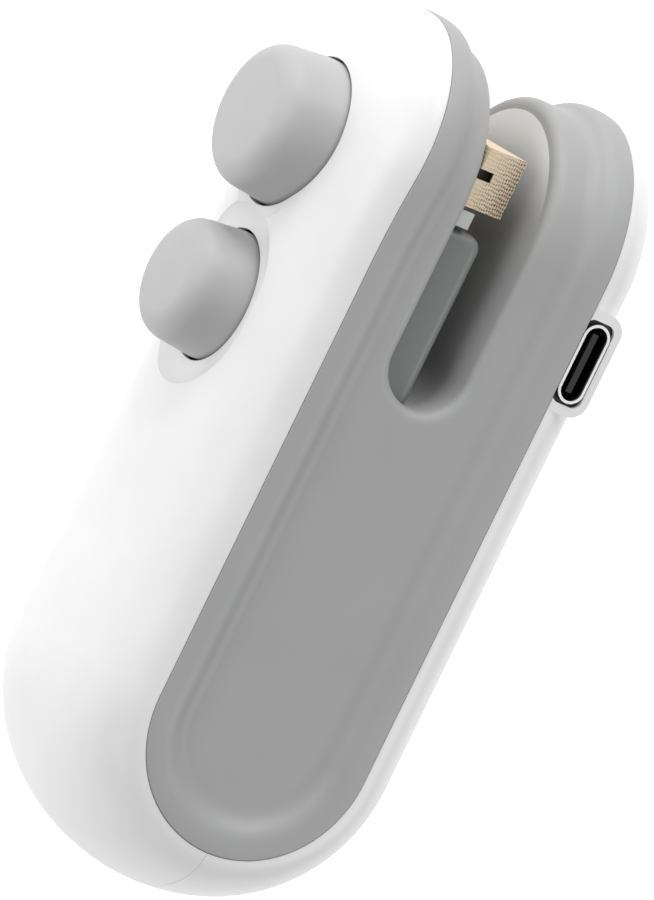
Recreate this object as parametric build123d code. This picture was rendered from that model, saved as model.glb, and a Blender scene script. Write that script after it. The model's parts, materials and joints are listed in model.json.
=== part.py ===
from build123d import *
from math import asin, cos, degrees, radians, sin, tan
import os

# Handheld bag heat sealer. Millimetres.
# X runs along the body, with the jaws at -X and the round handle end at +X.
# Y runs through it, with the press buttons at -Y and the charging port at +Y.
# Z runs across it, and the body lies on the far side cover.
# Everything is modelled about the centre of the handle's round end, on the mid plane,
# and is moved at export so that the origin is under the middle of the body.

# Body outline
SIDE_RADIUS = 13.04        # mid plane to the seam between a side cover and the outer shells
SHELL_RISE = 7.31          # how far the outer shells bulge beyond the seam
SEAM_HALF_WIDTH = 15.87    # half the width across the two seams
RIDGE_HALF_WIDTH = 16.1    # half the width across the side covers' rims
COVER_EDGE = 15.98         # half the width at the covers' edges, just proud of the shells
FRONT_END = 59.6           # centre of the front leg's round tip, from the handle's centre
BACK_END = 57.4            # centre of the back leg's round tip
LEAN_START = 50.0          # the front leg leans back beyond here
LEAN_RADIUS = 110.0        # radius of that lean, at the seam
LEAN = degrees(asin((FRONT_END - LEAN_START) / LEAN_RADIUS))
SHELL_WALL = 1.6
GROOVE = 0.07              # shadow line between covers and shells
GROOVE_HALF_WIDTH = 15.2   # the groove is only outside this half width
PARTING = 0.1              # chamfer of the outer shells where they meet at the handle's end

# Side covers
RIDGE_LAND = (1.3, 1.9)    # flat top of the rim round a recessed side panel, in from the seam
SLOPE_WIDTH = 3.3          # rim to the foot of the slope down to the panel
PANEL_HALF_WIDTH = 14.6    # half the width across the recessed panels
COVER_WALL = 1.5
SEAM_FILLET = 0.15

# Bag slot
SLOT_FRONT = -5.0
SLOT_BACK = 4.3
SLOT_BOTTOM = -37.7
SLOT_WALL = 1.3
SLOT_FILLET = 1.2

# Press buttons
SEAT = 19.3                # distance of the button seats from the mid plane
BUTTON_TOP = 26.1
BUTTON_DRAFT = 5.0
BUTTON_GAP = 0.3
BUTTON_WALL = 1.4
BUTTON_TOP_WALL = 2.2
BUTTON_CROWN = 0.5
BUTTON_FILLET = 2.6
FLANGE_TOP = 16.4
FLANGE_BASE = 15.2
FLANGE_MARGIN = 0.74
DISH_MARGIN = 0.7          # flat seat round a button's hole
DISH_FLARE = 3.0           # radius of the dish's lip
SEAL_X = -58.4
SEAL_HOLE = 8.66
CUT_X = -39.5
CUT_HOLE = 7.45

# Heater, across the slot
HEAD_X = (-65.9, -59.2)
HEAD_BASE = -4.75
HEAD_TIP = 1.6
HEAD_HALF_LENGTH = 12.95
HEAD_TAPER = 0.5
TAPE = 0.25
END_NOTCH_X = (-63.5, -62.4)
END_NOTCH_TIP = -2.5
CORE_TIP = 0.6
INSULATOR_TIP = 1.1
NECK_X = (-65.2, -59.8)    # neck through the slot's front wall, up to the plunger
NECK_HALF_LENGTH = 9.0
STRIP_X = (-64.5, -60.6)
STRIP_HALF_LENGTH = 9.2
ANVIL_END = -56.6          # lower end of the silicone pad let into the slot's back wall
ANVIL_DEPTH = 0.8
ANVIL_HALF_LENGTH = 12.9
RETAINER_X = (-58.8, -57.0)
RETAINER_TIP = -2.8
RUNNING_GAP = 0.3

# Inner parts that the presses ride in
PLATE = (15.2, 13.9)       # press plates under the buttons
GUIDE = (7.5, 6.3)         # guide frame on the slot's front wall
GUIDE_X = (-66.8, -31.9)
GUIDE_HALF_LENGTH = 10.3
PLUNGER_RADIUS = 9.2
SPIGOT_RADIUS = 3.6        # post from a plate up into its button
SEAL_POST = 12.3           # tops of the posts inside the springs
CUT_POST = 10.8
SPRING_RADIUS = 1.6
SPRING_WIRE = 0.2
POST_RADIUS = 1.1
SEAL_SPRINGS = ((-56.6, 7.0), (-56.6, -7.0))
CUT_SPRINGS = ((-36.2, 5.0), (-36.2, -5.0))

# Seal switch, pressed sideways by a ramp on the seal plunger
RAMP_X = -53.0             # the ramp's face at its toe
RAMP_TOE = 10.3
RAMP_SLOPE = 0.3
RAMP_Z = (7.4, 10.4)
RAMP_WALL = 1.2
KEY_MARGIN = 0.6           # key inside the ramp's width
KEY_Y = (-11.2, -10.5)
KEY_GAP = 0.1
SWITCH_X = (-51.3, -45.6)
SWITCH_Y = (-11.9, -7.5)
SWITCH_Z = (7.0, 10.8)

# Cutter
BLADE_X = -45.0
BLADE_THICKNESS = 0.4
BLADE_HALF_LENGTH = 5.5
BLADE_ENDS = (-8.5, -3.2, -0.7)   # back, corner and point of the blade
HOLDER_X = (-47.4, -41.0)
HOLDER_HALF_LENGTH = 6.5
HOLDER_STEP = -11.6
HOLDER_TIP = -5.3
WINDOW_X = (-51.0, -42.5)  # opening in the slot's front wall for the blade holder
WINDOW_HALF_LENGTH = 7.2
SLIT_HALF_LENGTH = 6.6
GUARD_X = (-56.6, -36.0)
GUARD_HALF_LENGTH = 12.4
GUARD_FACE = 0.0
GUARD_WALL = 1.2
GUARD_CAVITY_X = (-50.6, -42.9)
GUARD_CAVITY_HALF_LENGTH = 7.0
GUARD_CORNER = 1.6
GUARD_FILLET = 1.3

# Charging port, a standard USB-C receptacle
PORT_X = -49.5
PORT_Y = 14.62
PORT_SHELL = (8.94, 3.16)
PORT_DEPTH = 7.3
PORT_WALL = 0.3
PORT_FACE = 16.05
PORT_POCKET = (9.5, 3.6)
TONGUE = (6.7, 0.7)
TONGUE_RECESS = 0.5        # tongue's tip behind the mouth
PORT_INSERT = (9.4, 3.4, 0.9)    # black insert round the mouth: size and corner radius
PORT_INSERT_Z = (14.55, 15.5)
BUMP = (11.6, 17.3, 2.0)   # length, distance from the mid plane, corner radius
BUMP_DEPTH = 5.0

# Board and battery
BOARD_X = (-60.5, -27.6)
BOARD_Y = (11.9, 13.04)
BOARD_Z = (-10.0, 12.2)
CELL = (29.0, 22.0, 9.5)
CELL_X = -11.5
TRAY_WALL = 1.2
TERMINAL_X = (-53.6, -51.0)
TERMINAL_Y = (-10.4, -7.5)
TERMINAL_Z = (-10.4, -6.6)
CHARGE_CHIP = ((-50.5, -45.5), (2.0, 6.0), 1.2)     # X, Z and height off the board
TRANSISTOR = ((-43.0, -36.5), (-8.0, -2.0), 2.3)
COIL = (-47.5, -4.5, 3.0, 3.0)                      # X, Z, radius and height
LED = ((-58.5, -56.9), (8.0, 8.8), 0.6)
LEAD_X = -28.1             # leads run between the battery and the screw posts
SCREWS = ((7.2, 0.0), (-31.2, -3.5), (-31.2, 8.5), (-56.0, 8.7))
BOSS_RADIUS = 2.2
SCREW_RADIUS = 1.0
SCREW_HEAD = (1.9, 1.2)
SCREW_LENGTH = 16.0
SCREW_DEPTH = 8.0          # end of the blind holes in the near cover's posts

WIDE = 20.0                # further out than any part of the body


# ---- helpers ----

def block(x, y, z):
    """Box between two corners, given as a pair of limits along each axis."""
    size = [abs(b - a) for a, b in (x, y, z)]
    middle = [(a + b) / 2 for a, b in (x, y, z)]
    return Pos(*middle) * Box(*size)


def rod(x, z, radius, y):
    """Round rod along Y, between two limits."""
    return Pos(x, (y[0] + y[1]) / 2, z) * Rot(90, 0, 0) * Cylinder(radius, abs(y[1] - y[0]))


def post(x, y, radius, z):
    """Round post along Z, between two limits."""
    return Pos(x, y, (z[0] + z[1]) / 2) * Cylinder(radius, abs(z[1] - z[0]))


def across(face, half_width=WIDE):
    """Prism of a side view outline, both ways from the mid plane."""
    return extrude(face, half_width, both=True)


def edges_on(body, first, second):
    """The body's long edges that lie on the skins of two other shapes."""
    skins = [Compound(list(shape.faces())) for shape in (first, second)]
    edges = [edge for edge in body.edges() if edge.length > 2.0]
    return [edge for edge in edges if all(skin.distance_to(edge @ 0.5) < 0.01 for skin in skins)]


def lean_point(radius, angle=LEAN):
    """Point on the front leg's lean, at a radius from its centre."""
    a = radians(angle)
    return Vector(-LEAN_START - radius * sin(a), LEAN_RADIUS - SIDE_RADIUS - radius * cos(a))


def tip_plane():
    """Plane across the front leg's tip: local x points out of the front, local y across."""
    a = radians(LEAN)
    point = lean_point(LEAN_RADIUS)
    return Plane(origin=(point.X, point.Y, 0), x_dir=(-sin(a), -cos(a), 0), z_dir=(-cos(a), sin(a), 0))


# ---- outlines ----

def side_region(grow=0.0):
    """Outline of the side covers seen from the side, open past the legs' tips."""
    r = SIDE_RADIUS + grow
    tip = lean_point(LEAN_RADIUS + grow)
    middle = lean_point(LEAN_RADIUS + grow, LEAN / 2)
    past = tip + Vector(-cos(radians(LEAN)), sin(radians(LEAN))) * 25
    return make_face([
        Line(past, tip),
        ThreePointArc(tip, middle, (-LEAN_START, -r)),
        Line((-LEAN_START, -r), (0, -r)),
        ThreePointArc((0, -r), (r, 0), (0, r)),
        Line((0, r), (past.X, r)),
        Line((past.X, r), past),
    ])


def slot_region(grow=0.0):
    """Outline of the bag slot, open at the jaws."""
    radius = (SLOT_BACK - SLOT_FRONT) / 2
    middle = (SLOT_BACK + SLOT_FRONT) / 2
    turn = SLOT_BOTTOM - radius
    r = radius + grow
    return make_face([
        Line((-90, middle + r), (turn, middle + r)),
        ThreePointArc((turn, middle + r), (turn + r, middle), (turn, middle - r)),
        Line((turn, middle - r), (-90, middle - r)),
        Line((-90, middle - r), (-90, middle + r)),
    ])


def plan_prism(half_width):
    """Everything inside the body's outline seen from the front, with its round tips."""
    front = tip_plane().location * Rot(0, 90, 0) * Cylinder(half_width, 90)
    lean = Pos(tip_plane().origin) * Rot(0, 0, -LEAN)
    front += lean * Pos(45, 0, 0) * Box(90, 90, 2 * half_width)
    front &= Pos(0, -30, 0) * Box(200, 60, 60)
    back = Pos(-BACK_END, 15, 0) * Rot(90, 0, 0) * Cylinder(half_width, 30)
    back += Pos(-BACK_END + 45, 15, 0) * Box(90, 30, 2 * half_width)
    return front + back


# ---- outer shells ----

def bulge_section(rise, half_width, sweep):
    """Half or quarter ellipse on the seam: local x points outwards, local y across."""
    arc = EllipticalCenterArc((0, 0), rise, half_width, 90 - sweep, arc_size=sweep)
    foot = Polyline(arc @ 1, (0, 0), arc @ 0) if sweep < 180 else Line(arc @ 1, arc @ 0)
    return make_face([arc, foot])


def wall_section(sweep):
    """The outer shells' wall: one ellipse less another."""
    inner = bulge_section(SHELL_RISE - SHELL_WALL, SEAM_HALF_WIDTH - SHELL_WALL, sweep)
    return bulge_section(SHELL_RISE, SEAM_HALF_WIDTH, sweep) - inner


def leg_plane(side, x=0.0):
    """Plane across a leg, looking at the jaws, with local x out of the front (-1) or back (1)."""
    return Plane(origin=(x, side * SIDE_RADIUS, 0), x_dir=(0, side, 0), z_dir=(-1, 0, 0))


def tip_dome(section, plane):
    """Round end of a leg: a quarter section turned through half a turn."""
    return revolve(plane * section, Axis(plane.origin, plane.x_dir), 180)


def handle_bend(section, side):
    """Half of the handle's round end, on the front or the back."""
    return revolve(leg_plane(side) * section, Axis((0, 0, 0), (0, 0, -side)), 90)


def seam_groove():
    """Thin step along the seam, open to the outside."""
    ring = across(side_region(GROOVE)) - across(side_region(-1.0))
    return ring - plan_prism(GROOVE_HALF_WIDTH)


def parted(shell):
    """Shell with the outer edge of its face on the other shell chamfered."""
    edges = [edge for edge in shell.edges().filter_by_position(Axis.Y, -0.001, 0.001)]
    return chamfer(max(edges, key=lambda edge: edge.length), PARTING)


def front_shell():
    lean_axis = Axis(tuple(lean_point(0.0)), (0, 0, -1))
    shell = extrude(leg_plane(-1) * wall_section(180), LEAN_START)
    shell += revolve(leg_plane(-1, -LEAN_START) * wall_section(180), lean_axis, LEAN)
    shell += tip_dome(wall_section(90), tip_plane())
    shell += handle_bend(wall_section(180), -1)
    for x, hole in ((SEAL_X, SEAL_HOLE), (CUT_X, CUT_HOLE)):
        shell -= button_dish(x, hole)
        shell -= rod(x, 0, hole, (-WIDE - 10, -SIDE_RADIUS))
    return parted(shell) - seam_groove()


def button_dish(x, hole):
    """Shallow round dish with a flared lip for a button, square to the leg's face there."""
    tilt = degrees(asin(max(0.0, -x - LEAN_START) / LEAN_RADIUS))
    flat = hole + DISH_MARGIN
    lip = CenterArc((flat, DISH_FLARE), DISH_FLARE, -90, 60)
    rim = (lip @ 1).X
    outline = [Line((0, 0), (flat, 0)), lip, Polyline(lip @ 1, (rim, 6), (0, 6), (0, 0))]
    dish = revolve(make_face(outline), Axis.Y, 360)
    return Pos(x, -SEAT, 0) * Rot(0, 0, 180 - tilt) * dish


def port_pocket():
    face = Pos(PORT_X, PORT_Y) * RectangleRounded(*PORT_POCKET, 1.0)
    return extrude(face, WIDE)


def back_shell():
    shell = extrude(leg_plane(1) * wall_section(180), BACK_END)
    shell += tip_dome(wall_section(90), leg_plane(1, -BACK_END))
    shell += handle_bend(wall_section(180), 1)
    length, reach, corner = BUMP
    face = Pos(PORT_X, reach - 5) * RectangleRounded(length, 10, corner)
    bump = Pos(0, 0, BUMP_DEPTH) * extrude(face, SEAM_HALF_WIDTH - BUMP_DEPTH)
    bump -= across(side_region())
    return parted(shell) + bump - port_pocket() - seam_groove()


# ---- side covers ----

def cover_section(sweep):
    """Half or quarter section of the covers: local x out from the seam, local y across."""
    land, crest = [(-depth, RIDGE_HALF_WIDTH) for depth in RIDGE_LAND]
    foot = (crest[0] - SLOPE_WIDTH, PANEL_HALF_WIDTH)
    bend = ((crest[0] + foot[0]) / 2, (crest[1] + foot[1]) / 2)
    seam = (0, COVER_EDGE)
    quarter = make_face([
        TangentArc(land, seam, tangent=(1, 0)),
        Line(land, crest),
        TangentArc(crest, bend, tangent=(-1, 0)),
        TangentArc(foot, bend, tangent=(1, 0)),
        Polyline(foot, (-SIDE_RADIUS, PANEL_HALF_WIDTH), (-SIDE_RADIUS, 0), (0, 0), seam),
    ])
    corner = quarter.vertices().sort_by_distance(seam)[0]
    quarter = fillet(corner, SEAM_FILLET)
    return quarter if sweep < 180 else quarter + mirror(quarter, about=Plane.XZ)


def cover_body():
    """Both side covers in one, solid, with the recessed panels and the bag slot."""
    lean_axis = Axis(tuple(lean_point(0.0)), (0, 0, -1))
    body = extrude(leg_plane(-1) * cover_section(180), LEAN_START)
    body += revolve(leg_plane(-1, -LEAN_START) * cover_section(180), lean_axis, LEAN)
    body += extrude(leg_plane(1) * cover_section(180), BACK_END)
    for side in (-1, 1):
        body += handle_bend(cover_section(180), side)
    for plane in (tip_plane(), leg_plane(1, -BACK_END)):
        body += tip_dome(cover_section(90), plane)
    slot = across(slot_region())
    body -= slot
    return body.fillet(SLOT_FILLET, edges_on(body, slot, plan_prism(PANEL_HALF_WIDTH)))


def screw_posts(z, radius):
    posts = [post(x, y, radius, z) for x, y in SCREWS]
    return Part() + posts


def cover_pair():
    """The two covers, hollow, with the walls of the bag slot."""
    inside = across(side_region(0.5)) & plan_prism(PANEL_HALF_WIDTH - COVER_WALL)
    hollow = inside - across(slot_region(SLOT_WALL))
    hollow -= screw_posts((-WIDE, WIDE), BOSS_RADIUS)
    pair = cover_body() - hollow
    pair -= screw_posts((-WIDE, SCREW_DEPTH), SCREW_RADIUS + 0.03)
    head = PANEL_HALF_WIDTH - 1.4
    pair -= screw_posts((-WIDE, -head), SCREW_HEAD[0] + 0.15)
    return pair - press_openings() - anvil_pad()


def press_openings():
    """Ways through the slot's front wall for the heater's neck and the blade holder."""
    y = (SLOT_FRONT - 4, SLOT_FRONT + 1)
    neck = (NECK_X[0] - RUNNING_GAP, NECK_X[1] + RUNNING_GAP)
    reach = NECK_HALF_LENGTH + RUNNING_GAP
    return block(neck, y, (-reach, reach)) + block(WINDOW_X, y, (-WINDOW_HALF_LENGTH, WINDOW_HALF_LENGTH))


def side_cover(pair, side):
    """One half of the pair: near (1) or far (-1)."""
    return pair & Pos(0, 0, side * 15) * Box(300, 100, 30)


def anvil_pad():
    """Pad that the heater presses the bag against, round like the leg's tip."""
    pad = block((-90, ANVIL_END), (SLOT_BACK, SLOT_BACK + ANVIL_DEPTH), (-WIDE, WIDE))
    return pad & plan_prism(ANVIL_HALF_LENGTH)


# ---- fixed parts in the slot ----

def blade_guard():
    """Hollow rib on the slot's front wall that keeps the blade covered."""
    low, high = GUARD_X
    face = Pos((low + high) / 2, (SLOT_FRONT + GUARD_FACE) / 2 - 1)
    outline = face * RectangleRounded(high - low, GUARD_FACE - SLOT_FRONT + 2, GUARD_CORNER)
    guard = extrude(outline & slot_region(), GUARD_HALF_LENGTH, both=True)
    slot = Compound(list(across(slot_region()).faces()))
    ends = [edge for edge in guard.edges() if abs(edge.center().Z) > GUARD_HALF_LENGTH - 0.01]
    guard = fillet([edge for edge in ends if slot.distance_to(edge @ 0.5) > 0.1], GUARD_FILLET)
    reach = GUARD_CAVITY_HALF_LENGTH
    guard -= block(GUARD_CAVITY_X, (SLOT_FRONT - 1, GUARD_FACE - GUARD_WALL), (-reach, reach))
    slit = (BLADE_X - 0.5, BLADE_X + 0.5)
    return guard - block(slit, (-2, 1), (-SLIT_HALF_LENGTH, SLIT_HALF_LENGTH))


def tape_retainer():
    return block(RETAINER_X, (SLOT_FRONT, RETAINER_TIP), (-GUARD_HALF_LENGTH, GUARD_HALF_LENGTH))


def press_guide():
    """Frame on the slot's front wall that carries the return springs."""
    top, base = GUIDE
    frame = block(GUIDE_X, (-top, -base), (-GUIDE_HALF_LENGTH, GUIDE_HALF_LENGTH)) - press_openings()
    for places, height in ((SEAL_SPRINGS, SEAL_POST), (CUT_SPRINGS, CUT_POST)):
        for x, z in places:
            frame += rod(x, z, POST_RADIUS, (-height, -top))
    return frame


def return_springs(places):
    """Two compression springs between the guide frame and a press plate."""
    length = PLATE[1] - GUIDE[0] - 2 * SPRING_WIRE - 0.1
    turns = 5
    helix = Helix(length / turns, length, SPRING_RADIUS)
    section = Plane(origin=helix @ 0, z_dir=helix % 0) * Circle(SPRING_WIRE)
    coil = sweep(section, helix)
    base = -GUIDE[0] - SPRING_WIRE - 0.05
    return [Pos(x, base, z) * Rot(90, 0, 0) * coil for x, z in places]


# ---- presses ----

def press_button(x, hole):
    """Hollow domed cap with a flange that holds it inside the front shell."""
    r = hole - BUTTON_GAP
    top = r - tan(radians(BUTTON_DRAFT)) * (BUTTON_TOP - SEAT)
    flange = hole + FLANGE_MARGIN
    bore = r - BUTTON_WALL
    ceiling = BUTTON_TOP - BUTTON_TOP_WALL
    edge = (top, BUTTON_TOP - BUTTON_CROWN)
    profile = make_face([
        ThreePointArc((0, BUTTON_TOP), (top / 2, BUTTON_TOP - BUTTON_CROWN / 4), edge),
        Polyline(edge, (r, SEAT), (r, FLANGE_TOP), (flange, FLANGE_TOP), (flange, FLANGE_BASE),
                 (bore, FLANGE_BASE), (top - BUTTON_WALL, ceiling), (0, ceiling), (0, BUTTON_TOP)),
    ])
    corner = profile.vertices().sort_by_distance(edge)[0]
    cap = revolve(fillet(corner, BUTTON_FILLET), Axis.Y, 360)
    return Pos(x, 0, 0) * Rot(0, 0, 180) * cap


def press_plate(x, radius, springs):
    plate = rod(x, 0, radius, (-PLATE[0], -PLATE[1]))
    plate += rod(x, 0, SPIGOT_RADIUS, (-BUTTON_TOP + BUTTON_TOP_WALL + 0.1, -PLATE[0]))
    for px, pz in springs:
        plate -= rod(px, pz, POST_RADIUS + 0.3, (-WIDE, 0))
    return plate


def seal_plunger():
    """Plate under the seal button, with the bar over the heater and the switch ramp."""
    plate = press_plate(SEAL_X, PLUNGER_RADIUS, SEAL_SPRINGS)
    plate += block(NECK_X, (-PLATE[0], -PLATE[1]), (-NECK_HALF_LENGTH, NECK_HALF_LENGTH))
    back = RAMP_X - RAMP_WALL
    plate += block((NECK_X[1], back + 2 * RAMP_WALL), (-PLATE[0], -PLATE[1]), RAMP_Z)
    for px, pz in SEAL_SPRINGS:
        plate -= rod(px, pz, POST_RADIUS + 0.3, (-WIDE, 0))
    face = Polyline((RAMP_X, -RAMP_TOE), (ramp_face(-PLATE[1]), -PLATE[1]), (back, -PLATE[1]),
                    (back, -RAMP_TOE), (RAMP_X, -RAMP_TOE))
    low, high = RAMP_Z
    return plate + Pos(0, 0, low) * extrude(make_face(face), high - low)


def ramp_face(y):
    """Where the ramp's face is along X, at a height on it."""
    return RAMP_X - RAMP_SLOPE * (RAMP_TOE + y)


def switch_key():
    """Plunger of the seal switch, with a nose cut parallel to the ramp."""
    top, base = KEY_Y
    low, high = RAMP_Z
    inner = SWITCH_X[0] + 1.6
    face = Polyline((ramp_face(base) + KEY_GAP, base), (ramp_face(top) + KEY_GAP, top), (inner, top),
                    (inner, base), (ramp_face(base) + KEY_GAP, base))
    return Pos(0, 0, low + KEY_MARGIN) * extrude(make_face(face), high - low - 2 * KEY_MARGIN)


def seal_switch():
    """Switch body, with the way in for its key."""
    gap = 0.1
    top, base = KEY_Y
    z = (RAMP_Z[0] + KEY_MARGIN - gap, RAMP_Z[1] - KEY_MARGIN + gap)
    way_in = block((SWITCH_X[0] - 1, SWITCH_X[0] + 2.6), (top - gap, base + gap), z)
    return block(SWITCH_X, SWITCH_Y, SWITCH_Z) - way_in


def head_outline(shrink):
    """Heater head seen along the body: wide at the wall, narrower at its tip."""
    tip = HEAD_TIP - shrink
    base = HEAD_HALF_LENGTH - shrink
    end = base - HEAD_TAPER * (tip - HEAD_BASE)
    points = ((HEAD_BASE, base), (tip, end), (tip, -end), (HEAD_BASE, -base), (HEAD_BASE, base))
    return make_face(Polyline(*points))


def head_block(shrink, tip=None):
    """Heater head, smaller than the tape's outside all over by a given amount."""
    low, high = HEAD_X
    plane = Plane(origin=(low + shrink, 0, 0), x_dir=(0, 1, 0), z_dir=(1, 0, 0))
    head = extrude(plane * head_outline(shrink), high - low - 2 * shrink)
    if tip is None:
        return head
    return head & block((-90, 0), (-10, tip), (-WIDE, WIDE))


def end_notch():
    return block(END_NOTCH_X, (HEAD_BASE - 1, END_NOTCH_TIP), (11.0, WIDE))


def heater_carriage():
    neck = block(NECK_X, (-PLATE[1], HEAD_BASE), (-NECK_HALF_LENGTH, NECK_HALF_LENGTH))
    return neck + head_block(TAPE, CORE_TIP) - end_notch()


def heater_insulator():
    return head_block(TAPE + 0.3, INSULATOR_TIP) & block((-90, 0), (CORE_TIP, 5), (-WIDE, WIDE))


def heating_strip():
    return block(STRIP_X, (INSULATOR_TIP, HEAD_TIP - TAPE), (-STRIP_HALF_LENGTH, STRIP_HALF_LENGTH))


def heater_tape():
    return head_block(0.0) - head_block(TAPE) - end_notch()


def cutter_stem():
    return press_plate(CUT_X, CUT_HOLE + 0.6, CUT_SPRINGS)


def blade_holder():
    z = (-HOLDER_HALF_LENGTH, HOLDER_HALF_LENGTH)
    holder = block(HOLDER_X, (-PLATE[1], HOLDER_STEP), z)
    holder += block((BLADE_X - 1.2, BLADE_X + 1.2), (HOLDER_STEP, HOLDER_TIP), z)
    return holder - blade_shape()


def blade_shape():
    """Thin blade whose edge slopes to a point in the middle."""
    plane = Plane(origin=(BLADE_X - BLADE_THICKNESS / 2, 0, 0), x_dir=(0, 1, 0), z_dir=(1, 0, 0))
    half = BLADE_HALF_LENGTH
    back, corner, point = BLADE_ENDS
    outline = Polyline((back, half), (corner, half), (point, 0), (corner, -half), (back, -half),
                       (back, half))
    return extrude(plane * make_face(outline), BLADE_THICKNESS)


# ---- electrics ----

def slot_tube(size, shrink, z):
    face = Pos(PORT_X, PORT_Y) * SlotOverall(size[0] - 2 * shrink, size[1] - 2 * shrink)
    return Pos(0, 0, z[0]) * extrude(face, z[1] - z[0])


def port_shell():
    z = (PORT_FACE - PORT_DEPTH, PORT_FACE)
    return slot_tube(PORT_SHELL, 0, z) - slot_tube(PORT_SHELL, PORT_WALL, (z[0] + PORT_WALL, z[1] + 1))


def port_tongue():
    length, thickness = TONGUE
    x = (PORT_X - length / 2, PORT_X + length / 2)
    y = (PORT_Y - thickness / 2, PORT_Y + thickness / 2)
    return block(x, y, (PORT_FACE - PORT_DEPTH + PORT_WALL, PORT_FACE - TONGUE_RECESS))


def port_insert():
    low, high = PORT_INSERT_Z
    face = Pos(PORT_X, PORT_Y) * RectangleRounded(*PORT_INSERT)
    insert = Pos(0, 0, low) * extrude(face, high - low)
    insert -= slot_tube(PORT_SHELL, -0.02, (low - 1, high + 1))
    return insert - across(side_region())


def main_board():
    return block(BOARD_X, BOARD_Y, BOARD_Z)


def board_part(x, z, height):
    """Block on the board's inner face."""
    return block(x, (BOARD_Y[0] - height, BOARD_Y[0]), z)


def boost_coil():
    x, z, radius, height = COIL
    return rod(x, z, radius, (BOARD_Y[0] - height, BOARD_Y[0]))


def status_led():
    """Lamp on the board's outer face, behind the back shell."""
    x, z, height = LED
    return block(x, (BOARD_Y[1], BOARD_Y[1] + height), z)


def battery_cell():
    cell = Pos(CELL_X, 0, 0) * Box(*CELL)
    return fillet(cell.edges().filter_by(Axis.X), 2.5)


def battery_tray():
    """Open frame that stands on the far cover and holds the cell's lower half."""
    length, height, depth = CELL
    wall = TRAY_WALL
    floor = -depth / 2
    inner = PANEL_HALF_WIDTH - COVER_WALL
    x = (CELL_X - length / 2 - wall, CELL_X + length / 2 + wall)
    tray = block(x, (-height / 2 - wall, height / 2 + wall), (-inner, floor + 2))
    tray -= block((x[0] + wall - 0.1, x[1] - wall + 0.1), (-height / 2 - 0.1, height / 2 + 0.1), (floor, 5))
    return tray - block((x[0] + wall, x[1] - wall), (-height / 2, height / 2), (-inner - 1, floor - wall))


def wire(points, radius, bend=1.6):
    path = FilletPolyline(*points, radius=bend)
    section = Plane(origin=path @ 0, z_dir=path % 0) * Circle(radius)
    return sweep(section, path)


def case_screw(x, y):
    """Countersunk screw from the far side into the near cover's post."""
    low = -PANEL_HALF_WIDTH + 0.2
    head = -PANEL_HALF_WIDTH + 1.4
    screw = post(x, y, SCREW_HEAD[0], (low, head)) + post(x, y, SCREW_RADIUS, (head, head + SCREW_LENGTH))
    cross = Box(2.2, 0.5, 1.2) + Box(0.5, 2.2, 1.2)
    return screw - Pos(x, y, low) * cross


def lead(x_end, y, z, radius):
    """Wire from the board, down beside the battery, to something on the guide frame."""
    return wire([(LEAD_X, BOARD_Y[0], z), (LEAD_X, y, z), (x_end, y, z)], radius)


def electrics():
    cell_end = CELL_X - CELL[0] / 2
    return {
        "battery_leads": [
            wire([(cell_end, 5.0, z), (LEAD_X, 5.0, z), (LEAD_X, BOARD_Y[0], z)], 0.4) for z in (1.0, -1.0)
        ],
        "switch_leads": [lead(SWITCH_X[1], -9.2, z, 0.35) for z in (7.9, 9.7)],
        "heater_leads": [lead(TERMINAL_X[1], -9.2, z, 0.45) for z in (-7.6, -9.4)],
    }


def assembly():
    """Every node of the sealer, by name."""
    pair = cover_pair()
    nodes = {
        "front_shell": front_shell(),
        "back_shell": back_shell(),
        "near_side_cover": side_cover(pair, 1),
        "far_side_cover": side_cover(pair, -1),
        "anvil_pad": anvil_pad(),
        "blade_guard": blade_guard(),
        "tape_retainer": tape_retainer(),
        "press_guide": press_guide(),
        "seal_springs": return_springs(SEAL_SPRINGS),
        "cutter_springs": return_springs(CUT_SPRINGS),
        "seal_switch": seal_switch(),
        "switch_key": switch_key(),
        "seal_button": press_button(SEAL_X, SEAL_HOLE),
        "seal_plunger": seal_plunger(),
        "heater_carriage": heater_carriage(),
        "heater_insulator": heater_insulator(),
        "heating_strip": heating_strip(),
        "heater_tape": heater_tape(),
        "cutter_button": press_button(CUT_X, CUT_HOLE),
        "cutter_stem": cutter_stem(),
        "blade_holder": blade_holder(),
        "cutter_blade": blade_shape(),
        "lead_terminal": block(TERMINAL_X, TERMINAL_Y, TERMINAL_Z),
        "port_shell": port_shell(),
        "port_tongue": port_tongue(),
        "port_frame": port_insert(),
        "main_board": main_board(),
        "charge_chip": board_part(*CHARGE_CHIP),
        "power_transistor": board_part(*TRANSISTOR),
        "boost_coil": boost_coil(),
        "status_led": status_led(),
        "battery_cell": battery_cell(),
        "battery_tray": battery_tray(),
        "case_screws": [case_screw(x, y) for x, y in SCREWS],
    }
    nodes.update(electrics())
    return nodes


def origin_shift(nodes):
    """Move that puts the origin under the middle of the body, on the surface it lies on."""
    boxes = [part.bounding_box() for part in nodes.values() if not isinstance(part, list)]
    x = (min(b.min.X for b in boxes) + max(b.max.X for b in boxes)) / 2
    y = (min(b.min.Y for b in boxes) + max(b.max.Y for b in boxes)) / 2
    return Pos(-x, -y, RIDGE_HALF_WIDTH)


def main():
    nodes = assembly()
    shift = origin_shift(nodes)
    os.makedirs("parts", exist_ok=True)
    for name, part in nodes.items():
        pieces = part if isinstance(part, list) else [part]
        solids = [shift * solid for piece in pieces for solid in piece.solids()]
        export_step(Compound(solids), f"parts/{name}.step")


main()
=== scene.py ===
import json
import math

import bpy
from mathutils import Matrix, Vector


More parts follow.
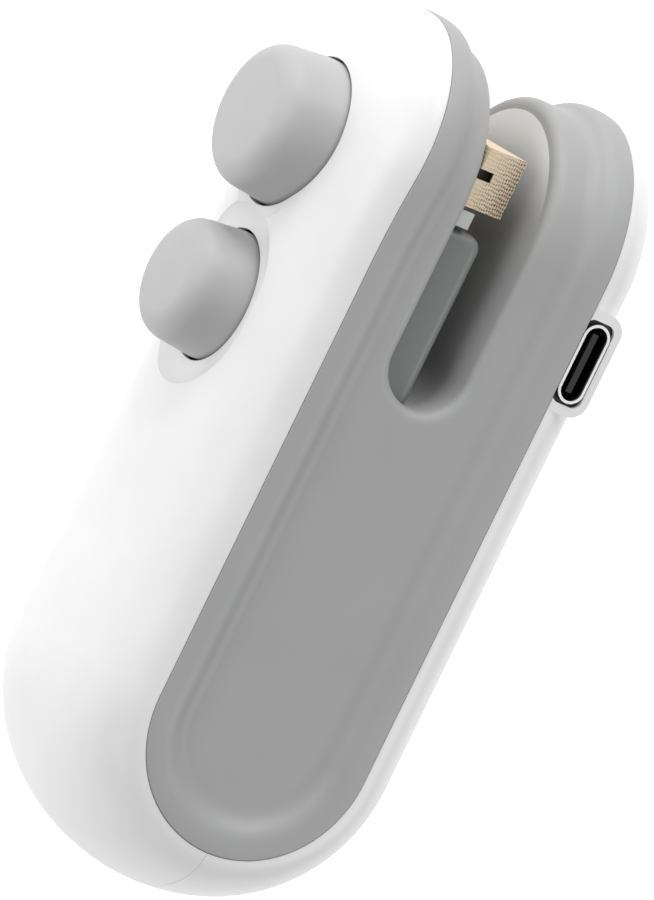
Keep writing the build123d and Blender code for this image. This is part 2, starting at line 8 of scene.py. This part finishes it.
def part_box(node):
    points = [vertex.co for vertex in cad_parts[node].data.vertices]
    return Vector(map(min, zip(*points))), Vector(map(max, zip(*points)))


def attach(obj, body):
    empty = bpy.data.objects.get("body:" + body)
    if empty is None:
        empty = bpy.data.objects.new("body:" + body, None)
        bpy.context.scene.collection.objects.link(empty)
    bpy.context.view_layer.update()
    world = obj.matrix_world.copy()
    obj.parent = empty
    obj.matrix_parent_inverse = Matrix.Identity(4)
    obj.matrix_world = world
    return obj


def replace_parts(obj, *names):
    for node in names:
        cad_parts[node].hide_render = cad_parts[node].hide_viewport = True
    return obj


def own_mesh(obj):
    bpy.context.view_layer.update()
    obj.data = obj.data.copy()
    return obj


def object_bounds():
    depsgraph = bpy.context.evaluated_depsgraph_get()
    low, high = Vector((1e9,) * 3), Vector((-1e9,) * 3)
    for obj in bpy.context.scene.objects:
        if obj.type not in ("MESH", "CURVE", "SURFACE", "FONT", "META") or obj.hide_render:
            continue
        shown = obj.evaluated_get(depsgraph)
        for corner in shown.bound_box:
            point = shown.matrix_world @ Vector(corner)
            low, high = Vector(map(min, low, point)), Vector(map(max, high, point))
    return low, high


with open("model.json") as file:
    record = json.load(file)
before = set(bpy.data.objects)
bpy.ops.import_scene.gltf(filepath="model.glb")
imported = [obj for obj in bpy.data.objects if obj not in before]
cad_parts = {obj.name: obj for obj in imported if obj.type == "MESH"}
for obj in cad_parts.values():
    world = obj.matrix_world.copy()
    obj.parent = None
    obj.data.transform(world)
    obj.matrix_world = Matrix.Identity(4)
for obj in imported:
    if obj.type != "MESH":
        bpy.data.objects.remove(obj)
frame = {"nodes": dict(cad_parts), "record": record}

MM = 0.001
MICRON = 0.000001
MOTTLE = (0.3, 0.7)         # part of a noise's range over which a mottled colour changes
PAINTED_LIGHT_WOBBLE = 0.12         # how far noise shifts the edge of the painted light on the silicone pad, as a share of its length
cad_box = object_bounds()
nodes = frame["nodes"]


# ---- material helpers ----

def new_material(name):
    material = bpy.data.materials.new(name)
    material.use_nodes = True
    tree = material.node_tree
    return material, tree, tree.nodes["Principled BSDF"]


def add(tree, kind, **values):
    """New node, with its settings and inputs given by name."""
    node = tree.nodes.new(kind)
    for key, value in values.items():
        if hasattr(node, key):
            setattr(node, key, value)
        else:
            node.inputs[key].default_value = value
    return node


def object_noise(tree, scale, detail=3.0, roughness=0.55):
    """Noise over the object's own coordinates, with its scale in cells per metre."""
    coords = add(tree, "ShaderNodeTexCoord")
    noise = add(tree, "ShaderNodeTexNoise", Scale=scale, Detail=detail, Roughness=roughness)
    tree.links.new(coords.outputs["Object"], noise.inputs["Vector"])
    return noise.outputs["Fac"]


def along_box(tree, axis):
    """Place along one axis of the piece's own box, from 0 to 1."""
    coords = add(tree, "ShaderNodeTexCoord")
    axes = add(tree, "ShaderNodeSeparateXYZ")
    tree.links.new(coords.outputs["Generated"], axes.inputs["Vector"])
    return axes.outputs[axis]


def remap(tree, value, low, high):
    """Value from 0 to 1, moved to run from low to high."""
    node = add(tree, "ShaderNodeMapRange")
    tree.links.new(value, node.inputs["Value"])
    node.inputs["To Min"].default_value = low
    node.inputs["To Max"].default_value = high
    return node.outputs["Result"]


def ramp(tree, value, places, colours, blend="LINEAR"):
    """Colour that runs from the first to the second between two places of a value."""
    node = add(tree, "ShaderNodeValToRGB")
    node.color_ramp.interpolation = blend
    for element, place, colour in zip(node.color_ramp.elements, places, colours):
        element.position = place
        element.color = (*colour, 1)
    tree.links.new(value, node.inputs["Fac"])
    return node.outputs["Color"]


def shade(colour, factor):
    return tuple(min(1.0, c * factor) for c in colour)


def mottled(tree, value, colour, darker, lighter):
    """Colour that varies a little with a value."""
    return ramp(tree, value, MOTTLE, (shade(colour, darker), shade(colour, lighter)))


def bump(tree, shader, layers):
    """Stacked bumps, each a value and a height in metres."""
    normal = None
    for value, height in layers:
        node = add(tree, "ShaderNodeBump", Strength=1.0, Distance=height)
        tree.links.new(value, node.inputs["Height"])
        if normal:
            tree.links.new(normal, node.inputs["Normal"])
        normal = node.outputs["Normal"]
    tree.links.new(normal, shader.inputs["Normal"])


# ---- materials ----

def moulded(name, colour, rough, grain=4 * MICRON, grain_scale=5200):
    """Moulded plastic: spark-eroded grain, slight flow mottling and uneven gloss."""
    material, tree, shader = new_material(name)
    fine = object_noise(tree, grain_scale, 2.0)
    broad = object_noise(tree, 95.0, 4.0)
    smear = object_noise(tree, 420.0, 5.0, 0.7)
    tree.links.new(mottled(tree, broad, colour, 0.975, 1.02), shader.inputs["Base Color"])
    tree.links.new(remap(tree, smear, rough - 0.05, rough + 0.06), shader.inputs["Roughness"])
    bump(tree, shader, [(broad, 20 * MICRON), (fine, grain)])
    return material


def metal(name, colour, rough, along=(1, 1, 1)):
    """Metal with fine lines drawn out along one way, and uneven gloss."""
    material, tree, shader = new_material(name)
    coords = add(tree, "ShaderNodeTexCoord")
    stretch = add(tree, "ShaderNodeMapping")
    stretch.inputs["Scale"].default_value = along
    tree.links.new(coords.outputs["Object"], stretch.inputs["Vector"])
    lines = add(tree, "ShaderNodeTexNoise", Scale=9000.0, Detail=3.0)
    tree.links.new(stretch.outputs["Vector"], lines.inputs["Vector"])
    stains = object_noise(tree, 700.0, 4.0)
    gloss = remap(tree, lines.outputs["Fac"], rough - 0.06, rough + 0.1)
    tree.links.new(mottled(tree, stains, colour, 0.9, 1.05), shader.inputs["Base Color"])
    tree.links.new(gloss, shader.inputs["Roughness"])
    shader.inputs["Metallic"].default_value = 1.0
    bump(tree, shader, [(lines.outputs["Fac"], 1.5 * MICRON)])
    return material


def silicone(name, pad_colour, painted_light_colour):
    """Silicone pad in its own grey, with painted light that makes it pale toward the jaws' tips."""
    material, tree, shader = new_material(name)
    painted_light_place = add(tree, "ShaderNodeMath", operation="MULTIPLY_ADD")
    tree.links.new(object_noise(tree, 260.0, 4.0), painted_light_place.inputs[0])
    painted_light_place.inputs[1].default_value = PAINTED_LIGHT_WOBBLE
    tree.links.new(along_box(tree, "X"), painted_light_place.inputs[2])
    # Painted light: pale at the jaws' tips, fading to the pad's own grey further in.
    colour = ramp(tree, painted_light_place.outputs["Value"], (0.15, 0.85), (painted_light_colour, pad_colour), "EASE")
    gloss = remap(tree, object_noise(tree, 420.0, 5.0, 0.7), 0.55, 0.68)
    tree.links.new(colour, shader.inputs["Base Color"])
    tree.links.new(gloss, shader.inputs["Roughness"])
    bump(tree, shader, [(object_noise(tree, 5200.0, 2.0), 2 * MICRON)])
    return material


def plated_shell(name, bright, dark):
    """Satin nickel, bright on the rim of the mouth, with painted shade that turns it black further
    in.
    """
    material, tree, shader = new_material(name)
    # Painted shade: dark below the rim, bright only at the rim.
    colour = ramp(tree, along_box(tree, "Z"), (0.95, 0.985), (dark, bright))
    gloss = remap(tree, object_noise(tree, 900.0, 4.0), 0.34, 0.5)
    tree.links.new(colour, shader.inputs["Base Color"])
    tree.links.new(gloss, shader.inputs["Roughness"])
    shader.inputs["Metallic"].default_value = 1.0
    bump(tree, shader, [(object_noise(tree, 9000.0), 1.5 * MICRON)])
    return material


def woven_glass(name, yarn, gap, resin):
    """Resin-coated glass cloth: pale yarns and scorched patches, with the gaps between the yarns
    painted brown, partly for resin and partly as painted shade in the low places.
    """
    material, tree, shader = new_material(name)
    depth = add(tree, "ShaderNodeAttribute", attribute_name="gap")
    # The gaps' dark brown is partly resin and partly painted shade between the yarns.
    cloth = ramp(tree, depth.outputs["Fac"], (0.12, 0.75), (yarn, gap))
    tint = add(tree, "ShaderNodeMix", data_type="RGBA", blend_type="MULTIPLY")
    tree.links.new(remap(tree, object_noise(tree, 900.0, 3.0), 0.0, 0.9), tint.inputs["Factor"])
    tree.links.new(cloth, tint.inputs["A"])
    tint.inputs["B"].default_value = (*resin, 1)
    tree.links.new(tint.outputs["Result"], shader.inputs["Base Color"])
    tree.links.new(remap(tree, object_noise(tree, 2500.0), 0.35, 0.65), shader.inputs["Roughness"])
    bump(tree, shader, [(object_noise(tree, 14000.0, 2.0), 6 * MICRON)])
    return material


WHITE = (0.79, 0.79, 0.787)
COVER = (0.365, 0.37, 0.367)
BUTTON = (0.45, 0.455, 0.451)
BAKED_RESIN = (0.05, 0.035, 0.022)
GLASS_YARN = (0.78, 0.67, 0.53)
# Colour of the gaps between the yarns: partly resin, partly painted shade.
GAP_RESIN_AND_SHADE = (0.10, 0.065, 0.035)
RESIN_TINT = (0.93, 0.84, 0.68)

finishes = {
    "white_shell": moulded("white_shell", WHITE, 0.36, 1.2 * MICRON, 6500),
    "grey_cover": moulded("grey_cover", COVER, 0.5, 3 * MICRON),
    "grey_button": moulded("grey_button", BUTTON, 0.48, 3 * MICRON),
    # The silicone's pale second colour is painted light at the jaws' tips.
    "silicone": silicone("silicone", COVER, (0.80, 0.825, 0.835)),
    "dark_plastic": moulded("dark_plastic", (0.19, 0.195, 0.195), 0.42, 3 * MICRON),
    "light_plastic": moulded("light_plastic", (0.55, 0.55, 0.545), 0.45),
    "inner_plastic": moulded("inner_plastic", (0.52, 0.52, 0.50), 0.5),
    "black_plastic": moulded("black_plastic", (0.012, 0.012, 0.013), 0.4),
    "spring_steel": metal("spring_steel", (0.6, 0.6, 0.59), 0.25),
    # The port shell's black is painted shade inside the mouth.
    "port_metal": plated_shell("port_metal", (0.92, 0.92, 0.91), (0.05, 0.05, 0.052)),
    "circuit_board": moulded("circuit_board", (0.01, 0.09, 0.03), 0.3),
    "ferrite": moulded("ferrite", (0.03, 0.03, 0.032), 0.7, 8 * MICRON),
    "led_lens": moulded("led_lens", (0.8, 0.75, 0.55), 0.15),
    "cell_foil": metal("cell_foil", (0.72, 0.73, 0.75), 0.35, (0.2, 1, 1)),
    "lead_red": moulded("lead_red", (0.5, 0.03, 0.02), 0.35),
    "heater_lead": moulded("heater_lead", (0.7, 0.66, 0.56), 0.8, 10 * MICRON, 9000),
    "screw_steel": metal("screw_steel", (0.30, 0.30, 0.31), 0.3),
    "mica": moulded("mica", (0.45, 0.38, 0.27), 0.4),
    "nichrome": metal("nichrome", (0.5, 0.46, 0.42), 0.3, (1, 1, 0.1)),
    "glass_tape": woven_glass("glass_tape_weave", GLASS_YARN, GAP_RESIN_AND_SHADE, RESIN_TINT),
    "blade_steel": metal("blade_steel", (0.75, 0.76, 0.78), 0.2, (1, 0.1, 1)),
}

for part in frame["record"]["subparts"]:
    mesh = nodes[part["node"]].data
    mesh.materials.clear()
    mesh.materials.append(finishes[part["material_slot"]])

# The heater's carrier is baked brown by the strip inside it.
nodes["heater_carriage"].data.materials[0] = moulded("baked_resin", BAKED_RESIN, 0.55)


# ---- woven tape over the heater head ----

# Lengths are in metres. A swell is the height of a yarn's crown above the gaps.
TAPE_PITCH = 0.42 * MM      # from one yarn to the next
TAPE_STEP = 0.07 * MM       # mesh size
TAPE_LIFT = 0.05 * MM       # middle of the yarns inside the tape's box
TAPE_THICK = 0.2 * MM
YARN_SWELL = 0.09 * MM
YARN_WAVE = 0.45            # a yarn's rise and fall over and under the others, in swells
YARN_WANDER = 0.06 * MM     # how far a yarn strays sideways
WANDER_RATES = (2900, 4100)    # of the straying along Y and X, in radians per metre
WANDER_TWIST = 1.7          # how far the straying along X shifts that along Y, in radians
GAP_EDGE = 1.35             # how soon the brown of a gap, partly painted shade, ends going up a yarn
INNER_TONE = 0.8            # colour of the inner skin, where 0 is yarn and 1 is gap
BARENESS = (0.3, 1.3)       # least and most of the gaps' depth of colour
BARE_TO_TIP = 1.2           # gain in bareness from the head's base to its tip
BARE_TO_HANDLE = 0.5        # gain across the head, toward the handle
BARE_START = 0.3            # gain that is used up before the gaps begin to darken
CAP_ROWS = 52               # rows of mesh on each long side of the head
HEAD_TAPER = 0.5            # how far each end draws in, as a share of the head's height
FIRST_ROW = 0.9             # length of a long side's first row, as a share of the head's base
TAIL_LENGTH = 3.0 * MM      # tape tucked under the head at each end
TAIL_SKINS = (0.01 * MM, 0.09 * MM)    # how far under the head each tail's two skins lie
NOTCH_X = (2.4 * MM, 3.5 * MM)    # notch in the near end, across the head
NOTCH_TIP = 2.25 * MM       # up from the head's base
NOTCH_Z = 11.0 * MM         # from the head's middle to the notch's floor
SHARP_ANGLE = math.radians(55)    # edges sharper than this stay sharp
SHORTEST_NORMAL = 1e-12     # below this the mesh has no clear direction

tape_low, tape_high = [Vector(c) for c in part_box("heater_tape")]
tape_size = tape_high - tape_low
tape_middle = (tape_low + tape_high) / 2
tape_sides = (tape_low.x + TAPE_LIFT, tape_high.x - TAPE_LIFT)


def lerp(a, b, k):
    return a + (b - a) * k


def across_head():
    """Places along X, from one long side of the head to the other."""
    count = round((tape_sides[1] - tape_sides[0]) / TAPE_STEP)
    return [lerp(*tape_sides, k / count) for k in range(count + 1)]


def link_mesh(name, verts, faces, material):
    mesh = bpy.data.meshes.new(name)
    mesh.from_pydata([tuple(v) for v in verts], [], faces)
    mesh.validate()
    mesh.materials.append(finishes[material])
    mesh.shade_smooth()
    mesh.set_sharp_from_angle(angle=SHARP_ANGLE)
    piece = bpy.data.objects.new(name, mesh)
    bpy.context.scene.collection.objects.link(piece)
    return piece


def spread(points, step):
    """Points at an even spacing along straight runs, with their corners kept."""
    out = [points[0]]
    for a, b in zip(points, points[1:]):
        count = max(1, round((b - a).length / step))
        out += [lerp(a, b, k / count) for k in range(1, count + 1)]
    return out


def run_lengths(points):
    """Distance along a line of points, up to each of them."""
    lengths = [0.0]
    for a, b in zip(points, points[1:]):
        lengths.append(lengths[-1] + (b - a).length)
    return lengths


def yarn_height(row, column):
    """Plain weave: how high the upper yarn stands, and how deep the gap between yarns is."""
    u, v = row / TAPE_PITCH, column / TAPE_PITCH
    over = 1 if (math.floor(u) + math.floor(v)) % 2 else -1
    across_u = math.cos(math.pi * (u % 1.0 - 0.5))
    across_v = math.cos(math.pi * (v % 1.0 - 0.5))
    weft = across_u * (1 - YARN_WAVE + YARN_WAVE * over * across_v)
    warp = across_v * (1 - YARN_WAVE - YARN_WAVE * over * across_u)
    high = max(weft, warp)
    return high, max(0.0, 1.0 - high * GAP_EDGE)


def sheet_normal(grid, i, j, centre):
    """Normal of a grid of points, from its neighbours, away from a centre."""
    last_i, last_j = len(grid) - 1, len(grid[0]) - 1
    down = grid[min(i + 1, last_i)][j] - grid[max(i - 1, 0)][j]
    across = grid[i][min(j + 1, last_j)] - grid[i][max(j - 1, 0)]
    outward = grid[i][j] - centre
    normal = across.cross(down)
    if normal.length < SHORTEST_NORMAL:
        normal = outward
    normal = normal.normalized()
    return normal if normal.dot(outward) > 0 else -normal


def sheet_faces(keep, columns, offset):
    """Faces of a sheet's two skins, and of its edges, over the cells that are kept."""
    def kept(i, j):
        return 0 <= i < len(keep) and 0 <= j < len(keep[0]) and keep[i][j]

    faces = []
    for i, row in enumerate(keep):
        for j, cell in enumerate(row):
            if not cell:
                continue
            first = i * columns + j
            corners = (first, first + columns, first + columns + 1, first + 1)
            faces.append(corners)
            faces.append(tuple(c + offset for c in reversed(corners)))
            for k, (down, across) in enumerate(((0, -1), (1, 0), (0, 1), (-1, 0))):
                if not kept(i + down, j + across):
                    p, q = corners[k], corners[(k + 1) % 4]
                    faces.append((q, p, p + offset, q + offset))
    return faces


def in_notch(point):
    """Whether a point is in the notch in the head's near end."""
    x, y = point.x - tape_low.x, point.y - tape_low.y
    return NOTCH_X[0] <= x <= NOTCH_X[1] and y <= NOTCH_TIP and point.z > tape_middle.z + NOTCH_Z


def bareness(point):
    """How dark the gaps between the yarns are: more so toward the head's tip and the handle."""
    x, y = (point.x - tape_low.x) / tape_size.x, (point.y - tape_low.y) / tape_size.y
    share = y * BARE_TO_TIP + x * BARE_TO_HANDLE - BARE_START
    return lerp(*BARENESS, min(1.0, max(0.0, share)))


def wander(point):
    """How far the yarns stray sideways at a point."""
    along_y, along_x = WANDER_RATES
    return YARN_WANDER * math.sin(point.y * along_y + WANDER_TWIST * math.sin(point.x * along_x))


def woven_sheet(name, outer, inner, centre):
    """Plain-woven sheet between two grids of points, on the heater head."""
    rows, columns = len(outer), len(outer[0])
    down = run_lengths([row[columns // 2] for row in outer])
    across = run_lengths(outer[rows // 2])
    verts, gaps = [], []
    for i, row in enumerate(outer):
        for j, point in enumerate(row):
            stray = wander(point)
            height, gap = yarn_height(down[i] + stray, across[j] + stray)
            verts.append(point + sheet_normal(outer, i, j, centre) * (height - 0.5) * YARN_SWELL)
            gaps.append(gap * bareness(point))
    offset = len(verts)
    verts += [point for row in inner for point in row]
    keep = [[not in_notch(point) for point in row[:-1]] for row in outer[:-1]]
    piece = link_mesh(name, verts, sheet_faces(keep, columns, offset), "glass_tape")
    layer = piece.data.attributes.new("gap", "FLOAT", "POINT")
    layer.data.foreach_set("value", gaps + [INNER_TONE] * offset)
    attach(piece, "seal_press")
    return piece


def make_tape():
    """The wrap: over the head's near end, tip and far end, and down onto its two long sides."""
    half = tape_size.z / 2
    half_tip = half - HEAD_TAPER * tape_size.y
    base, tip = tape_low.y, tape_high.y - TAPE_LIFT
    path = spread([Vector((base, TAPE_LIFT - half)), Vector((tip, TAPE_LIFT - half_tip)),
                   Vector((tip, half_tip - TAPE_LIFT)), Vector((base, half - TAPE_LIFT))], TAPE_STEP)
    rows = [(k / CAP_ROWS, tape_sides[0]) for k in range(CAP_ROWS)]
    rows += [(1.0, x) for x in across_head()]
    rows += [(k / CAP_ROWS, tape_sides[1]) for k in reversed(range(CAP_ROWS))]
    core = Vector((tape_middle.x, tape_low.y, tape_middle.z))

    def skin_point(row, point, depth):
        amount, x = row
        reach_y = (point.x - base) * amount
        reach_z = lerp(point.y * FIRST_ROW, point.y, amount)
        return core + Vector(((x - core.x) * (1 - depth / (tape_size.x / 2)),
                              reach_y * (1 - depth / tape_size.y), reach_z * (1 - depth / half)))

    outer, inner = [[[skin_point(row, point, depth) for point in path] for row in rows]
                    for depth in (0.0, TAPE_THICK)]
    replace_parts(woven_sheet("heater_tape_weave", outer, inner, core), "heater_tape")


def make_tape_tail(name, side):
    """End of the tape, tucked under the head."""
    edge = tape_size.z / 2
    ends = [Vector((side * edge, 0)), Vector((side * (edge - TAIL_LENGTH), 0))]
    reach = [tape_middle.z + point.x for point in spread(ends, TAPE_STEP)]
    inner, outer = [[[Vector((x, tape_low.y - skin, z)) for z in reach] for x in across_head()]
                    for skin in TAIL_SKINS]
    woven_sheet(name, outer, inner, Vector((tape_middle.x, tape_high.y, tape_middle.z)))


make_tape()
make_tape_tail("tape_tail_near", 1)
make_tape_tail("tape_tail_far", -1)


# ---- return springs, as fixed coils ----

SPRING_OUTER = 1.8 * MM     # outside radius
SPRING_WIRE = 0.2 * MM      # radius of the wire
SPRING_TURNS = 5
TURN_STEPS = 36             # mesh steps along one turn
WIRE_SIDES = 10             # mesh steps round the wire


def coil(centre_x, centre_z, ends):
    """Vertices and faces of one helical spring along Y, with its wire's two ends capped."""
    radius = SPRING_OUTER - SPRING_WIRE
    low, high = ends[0] + SPRING_WIRE, ends[1] - SPRING_WIRE
    count = SPRING_TURNS * TURN_STEPS
    verts, faces = [], []
    for i in range(count + 1):
        angle = 2 * math.pi * i / TURN_STEPS
        outward = Vector((math.cos(angle), 0, math.sin(angle)))
        middle = Vector((centre_x, lerp(low, high, i / count), centre_z)) + outward * radius
        for side in range(WIRE_SIDES):
            turn = 2 * math.pi * side / WIRE_SIDES
            spoke = outward * math.cos(turn) + Vector((0, math.sin(turn), 0))
            verts.append(middle + spoke * SPRING_WIRE)
    for i in range(count):
        for side in range(WIRE_SIDES):
            a, b = i * WIRE_SIDES + side, i * WIRE_SIDES + (side + 1) % WIRE_SIDES
            faces.append((a, a + WIRE_SIDES, b + WIRE_SIDES, b))
    last = count * WIRE_SIDES
    faces.append(tuple(range(WIRE_SIDES)))
    faces.append(tuple(last + side for side in reversed(range(WIRE_SIDES))))
    return verts, faces


def make_springs(name, node):
    """A button's two return springs, anchored on the guide frame."""
    low, high = [Vector(c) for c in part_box(node)]
    verts, faces = [], []
    for centre_z in (low.z + SPRING_OUTER, high.z - SPRING_OUTER):
        more_verts, more_faces = coil((low.x + high.x) / 2, centre_z, (low.y, high.y))
        faces += [tuple(v + len(verts) for v in face) for face in more_faces]
        verts += more_verts
    springs = link_mesh(name, verts, faces, "spring_steel")
    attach(springs, "housing")
    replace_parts(springs, node)
    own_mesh(springs)


make_springs("seal_spring_coils", "seal_springs")
make_springs("cutter_spring_coils", "cutter_springs")


# ---- floor, light and camera ----

FLOOR_HALF_SIZE = 3.0
FLOOR_GLOW = 0.4            # keeps the paper white behind the object
WORLD_LIGHT = 0.38
PAPER = (0.93, 0.93, 0.93)

# Each light's name, place from the middle of the object, diameter in metres, and power in watts
LIGHTS = (
    ("key", (-0.18, -0.84, 0.35), 0.5, 2.2),
    ("jaws", (-0.50, -0.45, 0.70), 0.5, 0.3),
    ("mouth", (-0.91, -0.41, 0.12), 0.3, 2.5),
    ("tips", (-0.88, 0.12, 0.38), 0.5, 3.4),
    ("rear", (0.20, 0.72, 0.55), 0.5, 2.3),
    ("handle", (0.60, -0.50, 0.55), 0.5, 1.0),
)

# The camera looks down on the near side cover, rolled so that the jaws point up and to the right.
VIEW_RIGHT = Vector((-0.4373, 0.8084, 0.3941))
VIEW_UP = Vector((-0.8966, -0.3576, -0.2614))
VIEW_BACK = Vector((-0.0704, -0.4677, 0.8811))
VIEW_TARGET = Vector((-1.6, 3.22, 16.1)) * MM
LENS = 500.0
SENSOR = 36.0
DISTANCE = 1.3116


def make_floor():
    mesh = bpy.data.meshes.new("floor")
    size = FLOOR_HALF_SIZE
    corners = [(-size, -size, 0), (size, -size, 0), (size, size, 0), (-size, size, 0)]
    mesh.from_pydata(corners, [], [(0, 1, 2, 3)])
    floor = bpy.data.objects.new("floor", mesh)
    bpy.context.scene.collection.objects.link(floor)
    paper = moulded("floor_paper", PAPER, 0.75, 10 * MICRON, 900)
    shader = paper.node_tree.nodes["Principled BSDF"]
    shader.inputs["Emission Color"].default_value = (1, 1, 1, 1)
    shader.inputs["Emission Strength"].default_value = FLOOR_GLOW
    mesh.materials.append(paper)


def area_light(name, place, target, size, power):
    data = bpy.data.lights.new(name, "AREA")
    data.shape = "DISK"
    data.size = size
    data.energy = power
    light = bpy.data.objects.new(name, data)
    bpy.context.scene.collection.objects.link(light)
    light.location = place
    light.rotation_euler = (target - place).to_track_quat("-Z", "Y").to_euler()


def make_world():
    world = bpy.data.worlds.new("studio")
    bpy.context.scene.world = world
    world.use_nodes = True
    background = world.node_tree.nodes["Background"]
    background.inputs["Color"].default_value = (1, 1, 1, 1)
    background.inputs["Strength"].default_value = WORLD_LIGHT


def make_camera():
    data = bpy.data.cameras.new("camera")
    data.lens = LENS
    data.sensor_width = SENSOR
    data.clip_start = 0.05
    data.clip_end = 20.0
    camera = bpy.data.objects.new("camera", data)
    bpy.context.scene.collection.objects.link(camera)
    turn = Matrix((VIEW_RIGHT, VIEW_UP, VIEW_BACK)).transposed()
    camera.matrix_world = Matrix.Translation(VIEW_TARGET + VIEW_BACK * DISTANCE) @ turn.to_4x4()
    bpy.context.scene.camera = camera


make_floor()
make_world()
middle = (cad_box[0] + cad_box[1]) / 2
for name, side, size, power in LIGHTS:
    area_light(name, middle + Vector(side), middle, size, power)
make_camera()
bpy.context.scene.view_settings.view_transform = "Standard"

bpy.context.view_layer.update()
